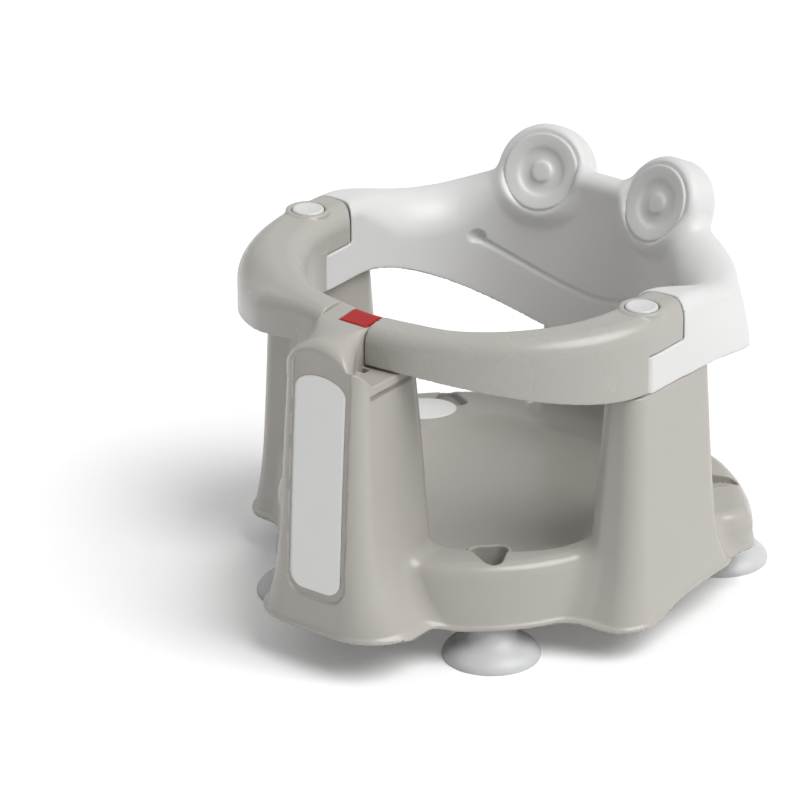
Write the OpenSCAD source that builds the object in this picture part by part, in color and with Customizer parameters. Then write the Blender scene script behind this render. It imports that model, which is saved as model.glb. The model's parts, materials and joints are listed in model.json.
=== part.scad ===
// Baby bath seat: a moulded seat base on four suction cups, a back shell shaped like
// a frog's head, a fixed arm and a gate arm that closes the ring round the child.
// Millimetres, +Z up. The child looks towards -Y, and the floor is at z = 0.

/* [Overall reach] */
// Front foot, forward of the hinge line
front_reach = 164; // [158:1:170]
// Rear foot, behind the hinge line
rear_reach = 186; // [182:1:196]
// Outer face of each side foot, from the middle
side_reach = 153; // [150:0.5:156]

/* [Ring and arms] */
// Hinge pins, from the middle of the seat
hinge_x = 130; // [128:0.5:132]
// Half width of the ring's opening at the hinges
ring_in_x = 110; // [107:0.5:112]
// Depth of the opening in front of the hinge line
ring_in_y = 94; // [92:0.5:98]
// Half width over the ring at the hinges
ring_out_x = 147; // [146:0.5:150]
// Reach of the arms' outer face in front of the hinge line
ring_out_y = 120; // [118:0.5:122]
// Height of the ring's top at the hinges
ring_top = 224; // [221:0.5:228]
// Height of the ring's top at the latch
ring_front_top = 220; // [218:0.5:221]
// Underside of the arms at the hinges
arm_low_hinge = 175; // [175:0.5:180]
// Underside of the arms at the latch
arm_low_latch = 195; // [194:0.25:195.5]
// Rounding of the arms' upper edges
arm_round = 11; // [8:0.5:12]
// Wall of the arms
arm_wall = 3.2; // [2.5:0.1:4]
// Swell of the fixed arm's outer face between hinge and head
swell = 10; // [0:0.5:12]

/* [Hinges] */
// Radius of the shell's knuckle below each arm
knuckle_r = 20; // [18:0.5:22]
// Radius of the arm's round end above the knuckle
arm_end_r = 27; // [25:0.5:28]
// Height of the step between knuckle and arm
step_z = 200; // [197:0.5:202]
// Gap round the arm's end
seam = 0.8; // [0.5:0.1:1.2]
// Diameter of the hinge pins
pin_d = 8; // [6:0.5:9]
// Diameter of the pin heads
pin_head_d = 14; // [12:0.5:15]
// Thickness of the pin heads
pin_head_t = 3; // [2.5:0.1:4]
// Length of pin inside the side column
pin_grip = 16; // [12:0.5:18]
// Diameter of the white caps
cap_d = 20.6; // [18:0.2:22]
// Thickness of a cap's disc
cap_t = 3; // [2.5:0.1:3.5]
// How far a cap stands above the arm
cap_rise = 1.6; // [1:0.1:2]
// Radial clearance of running fits
fit = 0.05; // [0.03:0.01:0.08]

/* [Back shell] */
// Height of the shell's lower edge at the back
shell_low_back = 112; // [108:1:116]
// Reach of the shell's outer face at the back
shell_out_back = 183; // [181:0.5:184]
// Reach of the shell's inner face at the back
shell_in_back = 137; // [135:0.5:139]
// Height of the rim between the eyes
brow_z = 232; // [228:1:236]
// Height lost by the rim at the frog's cheeks
cheek_dip = 15; // [12:1:18]
// Wall of the shell
shell_wall = 3.2; // [2.6:0.1:4]
// Distance of each eye from the middle
eye_x = 45; // [42:0.5:46]
// Eye centres, behind the hinge line
eye_y = 136; // [134:0.5:138]
// Height of the eye centres
eye_z = 228; // [223:0.5:230]
// Radius of the eyes
eye_r = 32; // [28:0.5:33]
// Thickness of the eyes
eye_t = 26; // [22:0.5:28]
// Backward tilt of the eyes
eye_tilt = 26; // [20:1:30]
// Turn of each eye towards the middle
eye_turn = 13; // [8:1:16]
// Half width of the mouth
mouth_x = 77; // [70:1:80]
// Height of the mouth's middle
mouth_low = 149; // [146:1:152]
// Height of the mouth's corners
mouth_high = 180; // [176:1:184]

/* [Seat base] */
// Height of the moulding's lower rim above the floor
rim_z = 28; // [25:0.5:32]
// How far the side feet reach below that rim
foot_drop = 8; // [6:0.5:12]
// Height of the decks over the suction cups
deck_z = 64; // [60:0.5:68]
// Height of the middle of the seat pan
pan_z = 50; // [48:0.5:54]
// Half width of the seat pan
pan_x = 107; // [104:0.5:109]
// Reach of the seat pan to the front
pan_front = 84; // [80:1:86]
// Reach of the seat pan to the back
pan_back = 126; // [118:1:130]
// Wall of the base
base_wall = 3; // [2.6:0.1:3.6]
// Width of the rolled lip round the lower rim
lip = 1.4; // [1:0.1:2]
// Reach of the front lobes from the middle
lobe_front = 127; // [124:0.5:130]
// Reach of the rear lobes from the middle
lobe_rear = 181; // [178:0.5:183]
// Half width of the front column at its top
front_col_x = 30; // [28:0.5:31]
// Reach of the front column's face at its top
front_col_y = 155; // [154:0.5:156]
// Height of the front column's shelf under the latch
shelf_z = 193.5; // [192:0.25:193.75]
// Reach of the head's front right corner, from the middle
head_wing = 24; // [20:0.5:24]
// Inner face of the side columns at their top
side_col_in = 118; // [116:0.5:120]
// Front end of the side columns at their top
side_col_front = 22; // [20:0.5:26]
// Rear end of the side columns at their top
side_col_back = 59.5; // [56:0.5:62]
// Half width of the rear column at its top
rear_col_x = 50; // [46:1:54]
// Width of the label's recess at its top
label_w = 44; // [40:0.5:46]
// Length of the label's recess
label_len = 166; // [155:1:168]
// Depth of the label's recess
label_d = 1.6; // [1:0.1:2]

/* [Suction cups] */
// Diameter of the cups' rims
cup_d = 62; // [56:1:64]
// Front cups, from the middle
cup_front_x = 74; // [72:0.5:76]
// Front cups, forward of the hinge line
cup_front_y = 77; // [75:0.5:79]
// Rear cups, from the middle
cup_rear_x = 110; // [107:0.5:112]
// Rear cups, behind the hinge line
cup_rear_y = 124; // [121:0.5:126]
// Diameter of the cups' necks
neck_d = 22; // [19:0.5:23]
// Diameter of the plugs that hold the cups
plug_d = 14; // [12:0.5:15]
// Height of the bosses' lower ends
boss_z = 33; // [31:0.5:36]
// Height of the bosses' upper ends
boss_top = 50; // [48:0.5:54]

/* [Latch] */
// Width of the red button across the ring
button_w = 20.5; // [18:0.25:20.75]
// Right edge of the button, from the middle
button_edge = 4.25; // [3.5:0.25:4.5]
// Travel of the button
button_travel = 4.5; // [4.4:0.05:4.6]
// Thickness of the button's top
button_t = 5; // [4:0.25:6]
// Gap round the button
button_gap = 0.35; // [0.25:0.05:0.5]
// Diameter of the button's stem
stem_d = 4; // [3.5:0.1:4.4]
// Diameter of the locking collar on the stem
collar_d = 8; // [7.4:0.1:8.6]
// Thickness of the gate arm's tongue
tongue_t = 3; // [2.8:0.05:3.1]
// Face of the gate arm's end, from the middle
gate_edge = 7.2; // [7:0.1:8]
// Diameter of the spring's wire
wire_d = 0.9; // [0.7:0.05:1]

/* [Hidden] */
ring_steps = 20;

// The hinge line lies off the middle of the plan, so that the origin is under the middle.
hinge_y = (front_reach - rear_reach) / 2;

// Latch: heights of its parts, and the way of the stem through the tongue.
tongue_z = arm_low_latch + 0.4;
collar_t = tongue_t + 1.6;
collar_z = tongue_z - 0.5;
web_z = collar_z + collar_t + 0.4;
web_t = 3;
plate_d = 11;
button_x = button_edge - button_w / 2;
button_y = -ring_in_y - 11;
button_depth = button_w - 1.9;
well_w = button_w + 2 * button_gap;
well_depth = button_depth + 2 * button_gap;
button_under = ring_front_top - button_t;
tongue_tip = button_x - 5.5;
tongue_front = button_y - 8.5;
tongue_back = -ring_in_y - arm_wall;
tongue_root = gate_edge + arm_wall + fit;
slot_r = collar_d / 2 + 0.5;
stem_reach = norm([hinge_x - button_x, button_y]);
stem_angle = 180 + atan2(-button_y, hinge_x - button_x);
tip_reach = norm([hinge_x - tongue_tip, tongue_front]);
head_edge = gate_edge - seam;
head_waist = -front_col_y + 29;

// Hinge: seats of cap and pin head above the arm.
cap_seat = ring_top + cap_rise - cap_t;
pin_seat = cap_seat - pin_head_t - 1;
well_z = pin_seat - 0.4;
column_top = arm_low_hinge - seam;
pin_foot = column_top - pin_grip;
hub_r = cap_d / 2 + 4.2;

// Rear column and the shell's pillars over it.
rear_top = 140;
pillar_x = 25;
pillar_y = 158;
screw_d = 4;
screw_head_d = 7.4;
arm_screw_z = [202.5, 211.5];

function ease(t) = let (c = min(1, max(0, t))) c * c * (3 - 2 * c);
function mix(a, b, t) = a + (b - a) * t;

// Rounds each corner of a polygon by an arc, so that equal polygons give equal point counts.
function round_corners(p, r, steps = 4) = [
    for (i = [0:len(p) - 1])
        let (c = p[i], a = p[(i + len(p) - 1) % len(p)] - c, b = p[(i + 1) % len(p)] - c,
             ua = a / norm(a), ub = b / norm(b), half = acos(ua * ub) / 2,
             centre = c + (ua + ub) / norm(ua + ub) * r / sin(half),
             from = c + ua * r / tan(half) - centre, to = c + ub * r / tan(half) - centre,
             start = atan2(from[1], from[0]), turn = atan2(from[0] * to[1] - from[1] * to[0], from * to))
        for (k = [0:steps]) centre + r * [cos(start + turn * k / steps), sin(start + turn * k / steps)]
];

// Skin through rings of equally many points, closed at both ends.
module skin(rings) {
    n = len(rings[0]);
    last = len(rings) - 1;
    polyhedron(
        points = [for (g = rings) each g],
        faces = [
            [for (i = [0:n - 1]) i],
            for (k = [0:last - 1]) for (i = [0:n - 1]) let (a = k * n + i, b = k * n + (i + 1) % n)
                each [[a, a + n, b + n], [a, b + n, b]],
            [for (i = [n - 1:-1:0]) last * n + i]
        ]
    );
}
module on_ring() {
    translate([0, hinge_y, 0]) children();
}
module both_sides() {
    children();
    mirror([1, 0, 0]) children();
}
module at_hinge() {
    translate([hinge_x, 0, 0]) children();
}
module screw(at, z, length) {
    translate([at[0], at[1], z - 2.6]) cylinder(d = screw_head_d, h = 2.6, $fn = 32);
    translate([at[0], at[1], z - 0.5]) cylinder(d = screw_d, h = length + 0.5, $fn = 32);
}
module screw_hole(at, z, length) {
    translate([at[0], at[1], z]) cylinder(d = screw_d + 0.2, h = length, $fn = 32);
}

// Ring of the arms: an upside-down U between two ellipses. The angle a runs from
// the hinge (0) to the latch (90), and a negative a is a distance straight back
// from the hinge. All faces move inwards by g.
function arm_low(a) = mix(arm_low_hinge, arm_low_latch, ease((a - 8) / 76));
function arm_top(a) = mix(ring_top, ring_front_top, ease(a / 90));
function arm_swell(a) = ease((a - 2) / 30) * ease((72 - a) / 18);
function arm_section(a, g, low, wide) =
    let (t = max(a, 0), back = max(-a, 0), b = wide * arm_swell(a),
         outer = [(ring_out_x + b) * cos(t), back - (ring_out_y + b) * sin(t)],
         inner = [ring_in_x * cos(t), back - ring_in_y * sin(t)],
         w = norm(outer - inner), u = (outer - inner) / w, top = arm_top(t) - g,
         ro = arm_round + 1.1 * b - g, ri = 0.7 * (arm_round - g),
         profile = concat(
             [[w - g, low]],
             [for (k = [0:4]) [w - g - ro + ro * cos(22.5 * k), top - ro + ro * sin(22.5 * k)]],
             [for (k = [0:3]) [g + ri - ri * sin(30 * k), top - ri + ri * cos(30 * k)]],
             [[g, low]]))
    [for (q = profile) [inner[0] + u[0] * q[0], inner[1] + u[1] * q[0], q[1]]];
module arm_loft(g, last, wide = 0) {
    angles = concat([-arm_end_r - 4], [for (i = [0:ring_steps]) i * last / ring_steps]);
    skin([for (a = angles) arm_section(a, g, arm_low(max(a, 0)) - (g > 0 ? 2 : 0), wide)]);
}
// What an arm leaves free at its hinge: all behind its round end, and the knuckle below.
module hinge_end_cut(round_r, hollow_r, step) {
    at_hinge() {
        difference() {
            translate([-60, 0, 150]) cube([120, 60, 100]);
            translate([0, 0, step]) cylinder(r = round_r, h = 60, $fn = 72);
        }
        translate([0, 0, 150]) cylinder(r = hollow_r, h = step - 150, $fn = 72);
    }
}
module arm_hollow(last, wide = 0) {
    difference() {
        arm_loft(arm_wall, last, wide);
        hinge_end_cut(arm_end_r - arm_wall, knuckle_r + seam + arm_wall, step_z + arm_wall);
        at_hinge() translate([0, 0, step_z]) cylinder(r = hub_r, h = 40, $fn = 48);
    }
}
// Collar that stands out of the arm round the cap, with the well that the cap closes.
module hub() {
    at_hinge() translate([0, 0, step_z]) cylinder(r = hub_r, h = ring_top - step_z, $fn = 48);
}
module hub_holes() {
    at_hinge() {
        translate([0, 0, well_z]) cylinder(d = cap_d + 1, h = 20, $fn = 48);
        translate([0, 0, step_z - 1]) cylinder(d = pin_d + 2 * fit, h = 30, $fn = 48);
    }
}
module beyond_x(x) {
    translate([x, -200, 150]) cube([200, 250, 100]);
}
module before_x(x) {
    translate([x - 200, -200, 150]) cube([200, 250, 100]);
}

// Gate arm: hollow from below, closed by an end wall with a notch for the tongue.
module right_arm() {
    color([0.71, 0.70, 0.67]) on_ring() difference() {
        union() {
            difference() {
                arm_loft(0, 94);
                before_x(gate_edge);
                difference() {
                    arm_hollow(94);
                    before_x(gate_edge + arm_wall);
                }
                hinge_end_cut(arm_end_r, knuckle_r + seam, step_z);
            }
            hub();
        }
        hub_holes();
        translate([gate_edge - 1, tongue_front - fit, tongue_z - 10])
            cube([arm_wall + 2, tongue_back - tongue_front + 2 * fit, tongue_t + 10 + fit]);
    }
}
// Tongue: it is pushed through the gate arm's end wall from inside, up to the flange on its
// root, and is slotted for the latch's stem along its way out.
module latch_tongue() {
    color([0.22, 0.22, 0.23]) on_ring() difference() {
        union() {
            translate([tongue_tip, tongue_front, tongue_z])
                cube([tongue_root + 0.5 - tongue_tip, tongue_back - tongue_front, tongue_t]);
            translate([tongue_root, tongue_front - 1, tongue_z])
                cube([3, tongue_back - tongue_front + 1, 8]);
        }
        translate([button_x, button_y, tongue_z - 1]) cylinder(r = slot_r, h = tongue_t + 2, $fn = 32);
        at_hinge() translate([0, 0, tongue_z - 1]) rotate([0, 0, stem_angle - 8])
            rotate_extrude(angle = 8, $fn = 96)
                translate([stem_reach - slot_r, 0]) square([2 * slot_r, tongue_t + 2]);
    }
}

// Latch head: the block that stands on the front column and is widest at its face, with a
// slanting flank beside the gate arm's end. Its top falls towards the front, and its left
// and front edges are rounded.
function head_ring(g, z, round) =
    let (x0 = -front_col_x + g + round, y0 = -front_col_y + g + round, y1 = -ring_out_y + 8 - g,
         x1 = head_edge - g, xf = head_wing - g - 0.5 * round,
         slope = 0.107 * (z - shelf_z) / (ring_front_top - shelf_z))
    [for (p = round_corners([[x0, y0], [xf, y0], [x1, head_waist], [x1, y1], [x0, y1]],
                            6.5 - 0.3 * round - g))
        [p[0], p[1], z + slope * (p[1] + ring_in_y)]];
module head_form(g, foot) {
    top = ring_front_top - g;
    skin([for (q = [[foot, 0], [top - 12, 0], [top - 7, 0.9], [top - 3.5, 3], [top - 1, 6], [top, 10]])
        head_ring(g, q[0], q[1])]);
}
// The stretch of the ring that crosses the head, as a solid block round the latch.
module head_ring_block() {
    difference() {
        mirror([1, 0, 0]) arm_loft(0, 94);
        beyond_x(head_edge);
        before_x(-front_col_x);
    }
    translate([-front_col_x + 4, -ring_out_y + 2, shelf_z - 8])
        cube([front_col_x - 4 + head_edge, 22, 20]);
}
// Fixed arm: the gate arm's mirror image, ended by a wall against the head.
module left_arm() {
    color([0.71, 0.70, 0.67]) on_ring() difference() {
        mirror([1, 0, 0]) {
            difference() {
                union() {
                    difference() {
                        arm_loft(0, 94, swell);
                        before_x(front_col_x);
                        difference() {
                            arm_hollow(94, swell);
                            before_x(front_col_x + arm_wall);
                        }
                        hinge_end_cut(arm_end_r, knuckle_r + seam, step_z);
                    }
                    hub();
                }
                hub_holes();
            }
        }
        arm_screw_places() screw_hole([0, 0], -5, 10);
    }
}
// Screws run from the arm's hollow through its end wall into the head.
module arm_screw_places() {
    for (z = arm_screw_z)
        translate([-front_col_x, -(ring_in_y + ring_out_y) / 2, z]) rotate([0, 90, 0]) children();
}
// Room inside the head: well of the button, bore for plate, spring and collar, and the
// slot in which the tongue swings out.
module latch_space() {
    translate([button_x, button_y, 0]) {
        translate([-well_w / 2, -well_depth / 2, button_under - button_travel - 1])
            cube([well_w, well_depth, 20]);
        translate([0, 0, shelf_z - 10]) cylinder(d = plate_d, h = 40, $fn = 48);
    }
    intersection() {
        at_hinge() translate([0, 0, tongue_z - 0.4]) rotate([0, 0, 200])
            rotate_extrude(angle = 60, $fn = 96)
                translate([100, 0]) square([tip_reach + 0.5 - 100, tongue_t + 0.8]);
        translate([tongue_tip - 0.5, -160, 150]) cube([60, 160.5 + tongue_back, 100]);
    }
}
// Plate that guides the stem and carries the spring.
module latch_plate() {
    color([0.35, 0.35, 0.36]) on_ring() translate([button_x, button_y, web_z]) difference() {
        cylinder(d = plate_d - 0.04, h = web_t, $fn = 64);
        translate([0, 0, -1]) cylinder(d = stem_d + 2 * fit, h = web_t + 2, $fn = 48);
    }
}
module latch_button() {
    color([0.72, 0.10, 0.12]) on_ring() {
        intersection() {
            mirror([1, 0, 0]) arm_loft(0, 94);
            translate([button_x - button_w / 2, button_y - button_depth / 2, button_under])
                cube([button_w, button_depth, 20]);
        }
        translate([button_x, button_y, collar_z])
            cylinder(d = stem_d, h = button_under - collar_z + 0.5, $fn = 48);
    }
}
module latch_collar() {
    color([0.72, 0.72, 0.74]) on_ring() translate([button_x, button_y, collar_z]) difference() {
        cylinder(d = collar_d, h = collar_t, $fn = 48);
        translate([0, 0, -1]) cylinder(d = stem_d + 0.02, h = collar_t + 2, $fn = 48);
    }
}
// Coil spring round the stem, between the web and the button.
module latch_spring() {
    turns = 5;
    base = web_z + web_t + wire_d / 2;
    rise = button_under - wire_d / 2 - base;
    color([0.75, 0.75, 0.76]) on_ring() translate([button_x, button_y, 0])
        skin([for (i = [0:12 * turns]) let (a = 30 * i, z = base + rise * i / (12 * turns))
            [for (k = [0:5]) let (r = 3.6 + wire_d / 2 * cos(60 * k))
                [r * cos(a), r * sin(a), z + wire_d / 2 * sin(60 * k)]]]);
}

// Hinge pin: set in the side column, through the shell's knuckle and the arm.
module hinge_pin() {
    on_ring() at_hinge() {
        translate([0, 0, pin_foot]) cylinder(d = pin_d, h = pin_seat - pin_foot, $fn = 48);
        translate([0, 0, pin_seat]) cylinder(d = pin_head_d, h = pin_head_t, $fn = 48);
    }
}
module right_hinge_pin() {
    color([0.75, 0.75, 0.76]) hinge_pin();
}
module left_hinge_pin() {
    color([0.75, 0.75, 0.76]) mirror([1, 0, 0]) hinge_pin();
}
// Cap: a dished disc on a skirt that stands on the floor of the hub's well.
module hinge_cap() {
    r = cap_d / 2;
    top = cap_seat + cap_t;
    on_ring() at_hinge() rotate_extrude($fn = 96) polygon([
        [0, cap_seat], [0, top - 0.7], [5, top - 0.6], [8, top - 0.2], [8.8, top], [9.5, top - 0.1],
        [r - 0.2, top - 0.6], [r, top - 1.2], [r, cap_seat], [r - 0.2, well_z], [r - 2.4, well_z],
        [r - 2.4, cap_seat]]);
}
module right_hinge_cap() {
    color([0.92, 0.92, 0.91]) hinge_cap();
}
module left_hinge_cap() {
    color([0.92, 0.92, 0.91]) mirror([1, 0, 0]) hinge_cap();
}

// Back shell: an upside-down U that widens from the arms' width to the broad back and
// leans inwards. The angle a runs from the right hinge (0) over the back (90).
function shell_in(a) = mix(ring_in_x, shell_in_back, pow(sin(min(90, min(a, 180 - a) * 1.45)), 1.73));
function shell_out(a) = mix(ring_out_x, shell_out_back, pow(sin(min(90, min(a, 180 - a) * 1.6)), 1.9));
function shell_low(a) = let (b = min(a, 180 - a)) mix(column_top, shell_low_back, ease((b - 28) / 57));
function shell_top(a) = let (b = min(a, 180 - a))
    ring_top - cheek_dip * ease((b - 12) / 30) + (brow_z - ring_top + cheek_dip) * ease((b - 44) / 30);
function shell_lean(a) = let (b = min(a, 180 - a)) 9 * ease(b / 45) + 17 * ease((b - 45) / 35);
function shell_section(a, g) =
    let (c = min(180, max(0, a)), fore = max(-a, 0) + max(a - 180, 0),
         low = shell_low(c) - (g > 0 ? 3 : 0), top = shell_top(c) - g,
         ri = shell_in(c) + g, rt = shell_out(c) - shell_lean(c) - g, rb = shell_out(c) - g,
         wide = rt - ri, h = top - low, ro = min(arm_round, 0.5 * wide + 2) - 0.6 * g,
         rn = min(0.7 * (arm_round - g), wide - ro - 0.2),
         profile = concat(
             [[rb, low], [mix(rb, rt, 0.42) + 0.04 * (rb - rt), low + 0.5 * (h - ro)]],
             [for (k = [0:4]) [rt - ro + ro * cos(22.5 * k), top - ro + ro * sin(22.5 * k)]],
             [for (k = [0:3]) [ri + rn - rn * sin(30 * k), top - rn + rn * cos(30 * k)]],
             [[ri, low + 0.5 * (h - rn)], [ri, low]]))
    [for (q = profile) [q[0] * cos(c), q[0] * sin(c) - fore, q[1]]];
module shell_loft(g) {
    turn = g > 0 ? 3 : 0;
    angles = concat([204], [for (a = [180 - turn:-6:turn]) a], [-24]);
    skin([for (a = angles) shell_section(a, g)]);
}
// What the shell leaves free for the arms: room for the round end above the step, and
// all in front of the knuckle below it.
module shell_end_cut(round_r, front_r, step) {
    at_hinge() {
        translate([0, 0, step]) cylinder(r = round_r, h = 60, $fn = 48);
        translate([-60, -60, step]) cube([120, 60, 60]);
        difference() {
            translate([-60, -60, 150]) cube([120, 60, 100]);
            translate([0, 0, 149]) cylinder(r = front_r, h = 102, $fn = 48);
        }
    }
}
module eye_place() {
    translate([eye_x, eye_y, eye_z]) rotate([0, 0, -eye_turn]) rotate([90 - eye_tilt, 0, 0]) children();
}
// Eye: a thick disc with a rounded rim, a sunk face, an iris step and a pupil.
module eye_form() {
    r = eye_r;
    eye_place() rotate_extrude($fn = 32) polygon([
        [0, 0.6], [6.2, 0.6], [6.4, -0.2], [15.8, -0.2], [16.4, -1], [r - 6, -1], [r - 4, 0],
        [r - 1.2, -1.4], [r, -4.5], [r, -eye_t + 8], [r - 4, -eye_t + 2], [r - 12, -eye_t], [0, -eye_t]]);
}
module eye_hollow() {
    eye_place() translate([0, 0, -eye_t + 4]) cylinder(r = eye_r - 5, h = eye_t - 8.4, $fn = 24);
}
// Mouth: a groove in the inner face that ends in a round dimple at each cheek.
function mouth_point(t) =
    let (x = mouth_x * t)
    [x, sqrt(pow(shell_in_back - 0.9, 2) - x * x), mix(mouth_low, mouth_high, pow(abs(t), 1.7))];
module mouth() {
    for (i = [-6:5]) hull() {
        translate(mouth_point(i / 6)) sphere(r = 2.1, $fn = 8);
        translate(mouth_point((i + 1) / 6)) sphere(r = 2.1, $fn = 8);
    }
    for (s = [-1, 1]) translate(mouth_point(s) + [s, 0, 2]) sphere(r = 4.2, $fn = 16);
}
module back_shell() {
    color([0.91, 0.91, 0.90]) on_ring() difference() {
        union() {
            difference() {
                union() {
                    difference() {
                        shell_loft(0);
                        both_sides() eye_place() translate([0, 0, -4])
                            cylinder(r = eye_r - 1, h = 40, $fn = 32);
                    }
                    both_sides() eye_form();
                }
                difference() {
                    union() {
                        difference() {
                            shell_loft(shell_wall);
                            both_sides() eye_place() translate([0, 0, -9])
                                cylinder(r = eye_r + 3, h = 14, $fn = 32);
                        }
                        both_sides() eye_hollow();
                    }
                    both_sides() shell_end_cut(arm_end_r + seam + shell_wall, knuckle_r - shell_wall,
                                               step_z - seam - shell_wall);
                }
            }
            both_sides() {
                at_hinge() translate([0, 0, column_top])
                    cylinder(d = pin_d + 7, h = step_z - seam - column_top, $fn = 48);
                translate([pillar_x, pillar_y, rear_top]) cylinder(r = 5, h = 54, $fn = 32);
            }
        }
        both_sides() {
            shell_end_cut(arm_end_r + seam, knuckle_r, step_z - seam);
            at_hinge() translate([0, 0, column_top - 1]) cylinder(d = pin_d + 0.2, h = 60, $fn = 48);
            screw_hole([pillar_x, pillar_y], rear_top - 1, 14);
        }
        mouth();
    }
}

// Seat base. The lobes over the suction cups form one rounded body, as a radius over the
// angle a from the right side, with rounded upper edges.
function lobe_reach(a) =
    let (b = a > 90 ? 180 - a : a, front = lobe_front + 6 * ease((b + 62) / 35),
         rear = lobe_rear - 22 * ease((b - 60) / 25))
    mix(front, rear, ease((b - 20) / 12));
function deck(a) = let (b = a > 90 ? 180 - a : a) deck_z + 4 - 7 * ease((b + 20) / 60);
function lobe_ring(g, rise, inset, turn) =
    [for (a = [-90:turn:269]) let (r = lobe_reach(a) - g - inset)
        [r * cos(a), r * sin(a), mix(rim_z, deck(a) - max(g, 0), rise) - (g > 0 && rise == 0 ? 1 : 0)]];
module lobes(g) {
    steps = g > 0 ? [[0, 0], [0.8, 3], [1, 9]] : [[0, 0], [0.5, 1], [0.8, 2.8], [0.94, 5.8], [1, 10]];
    turn = g > 0 ? 7.5 : 5;
    top = [for (a = [-90:turn:269]) [20 * cos(a), 20 * sin(a), deck_z - max(g, 0)]];
    if (g < 0)
        skin([lobe_ring(g, 0, 0, turn), lobe_ring(g, 0.06, 0, turn)]);
    else
        skin(concat([for (q = steps) lobe_ring(g, q[0], q[1], turn)], [top]));
}
// Column: four corners that spread from the top to the foot, mostly near the foot.
function spread(t) = 0.28 * t + 0.72 * pow(t, 7);
function column_ring(top, foot, z1, t, g, lead, round, drop) =
    let (k = spread(t), ky = mix(k, pow(t, 0.8), lead),
         q = [for (i = [0:3]) [mix(top[i][0], foot[i][0], k), mix(top[i][1], foot[i][1], ky)]],
         c = (q[0] + q[1] + q[2] + q[3]) / 4,
         s = [for (p = q) [p[0] - g * sign(p[0] - c[0]), p[1] - g * sign(p[1] - c[1])]])
    [for (p = round_corners(s, mix(11, round, k) - 0.8 * max(g, 0), g > 0 ? 2 : 3))
        [p[0], p[1], mix(z1, rim_z - drop * ease((40 - p[1]) / 66) * ease((p[0] - 112) / 32), t)]];
module column(top, foot, z1, g, lid, round, lead = 0, drop = 0) {
    levels = g > 0 ? [0, 0.5, 0.78, 0.92, 1] : g < 0 ? [0.985, 1] : [0, 0.35, 0.6, 0.78, 0.88, 0.95, 1];
    rings = [for (t = levels) column_ring(top, foot, z1, t, g, lead, round, drop)];
    low = g > 0 ? 1 : 0;
    skin([for (i = [len(levels) - 1:-1:0])
        [for (p = rings[i]) [p[0], p[1], p[2] - (i == 0 ? lid : 0) - (i == len(levels) - 1 ? low : 0)]]]);
}
module front_column(g, lid) {
    x = front_col_x;
    column([[-x, -front_col_y], [x, -front_col_y], [x, -ring_in_y + 2], [-x, -ring_in_y + 2]],
           [[-x - 25, -front_reach], [x + 25, -front_reach], [x + 25, -76], [-x - 25, -76]],
           shelf_z, g, lid, 34, 1);
}
module side_column(g) {
    column([[side_col_in, -side_col_front], [ring_out_x, -side_col_front],
            [ring_out_x, side_col_back], [side_col_in, side_col_back]],
           [[106, -50], [side_reach + 1, -31], [side_reach - 3, 80], [106, 76]],
           column_top, g, max(g, 0), 14, 0, foot_drop);
}
module rear_column(g) {
    x = rear_col_x;
    y0 = shell_in_back + shell_wall + 3.4;
    y1 = shell_out_back - 17;
    column([[-x, y0], [x, y0], [x, y1], [-x, y1]],
           [[-x - 8, 112], [x + 8, 112], [x + 8, rear_reach], [-x - 8, rear_reach]],
           rear_top, g, max(g, 0), 24);
}
// The base's outer form for g = 0, its inside for g > 0, and only its rolled lip for g < 0.
module base_form(g) {
    lobes(g);
    front_column(g, max(g, 0));
    if (g >= 0)
        head_form(g, shelf_z - (g > 0 ? 6 : 1));
    side_column(g);
    mirror([1, 0, 0]) side_column(g);
    rear_column(g);
}
// Seat pan: a bowl between the columns, an ellipse in front and squarer at the back.
function pan_reach(a) =
    let (n = sin(a) < 0 ? 2 : 2 + 3 * ease(sin(a) / 0.6), wide = mix(pan_x, pan_x - 17, ease(sin(a) / 0.5)),
         deep = sin(a) < 0 ? pan_front : pan_back)
    pow(pow(abs(cos(a)) / wide, n) + pow(abs(sin(a)) / deep, n), -1 / n);
module pan(g) {
    low = pan_z - g;
    skin([for (q = [[low, 0.4], [low + 0.9, 0.66], [low + 4.5, 0.87], [deck_z, 1], [95, 1.03], [200, 1.11]])
        [for (i = [0:59]) let (r = pan_reach(6 * i) * q[1] + g) [r * cos(6 * i), r * sin(6 * i), q[0]]]]);
}
module label_recess() {
    difference() {
        translate([0, -120, 0]) rotate([90, 0, 0]) linear_extrude(height = 80) hull() {
            translate([0, 49 + label_len - label_w / 2]) circle(d = label_w, $fn = 40);
            translate([label_w / 2 - 9, 55]) circle(r = 6, $fn = 24);
            translate([9 - label_w / 2, 55]) circle(r = 6, $fn = 24);
        }
        front_column(label_d, 0);
        head_form(label_d, shelf_z - 5);
    }
}
// Each cup hangs from a boss, and a hole in the deck above it gives a finger room to
// lift the cup's rim.
module over_cup(x, y) {
    translate([x, y, 0]) rotate([0, 0, atan2(y, x)]) children();
}
module at_cups() {
    both_sides() {
        over_cup(cup_front_x, -cup_front_y) children();
        over_cup(cup_rear_x, cup_rear_y) children();
    }
}
module cup_boss() {
    translate([0, 0, boss_z]) cylinder(d = plug_d + 6, h = boss_top - boss_z, $fn = 32);
    for (s = [[0, 50], [0, -50], [60, 0], [-26, 0]]) hull() {
        translate([0, 0, boss_z + 1]) cylinder(r = 1.2, h = boss_top - boss_z - 1, $fn = 8);
        translate([s[0], s[1], boss_z + 1]) cylinder(r = 1.2, h = boss_top - boss_z - 1, $fn = 8);
    }
}
module finger_hole() {
    translate([0, 0, boss_top + 2]) hull() {
        translate([-3, 6, 0]) cylinder(r = 5, h = 40, $fn = 24);
        translate([-3, -6, 0]) cylinder(r = 5, h = 40, $fn = 24);
        translate([11, 0, 0]) cylinder(r = 5, h = 40, $fn = 24);
    }
}
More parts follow.
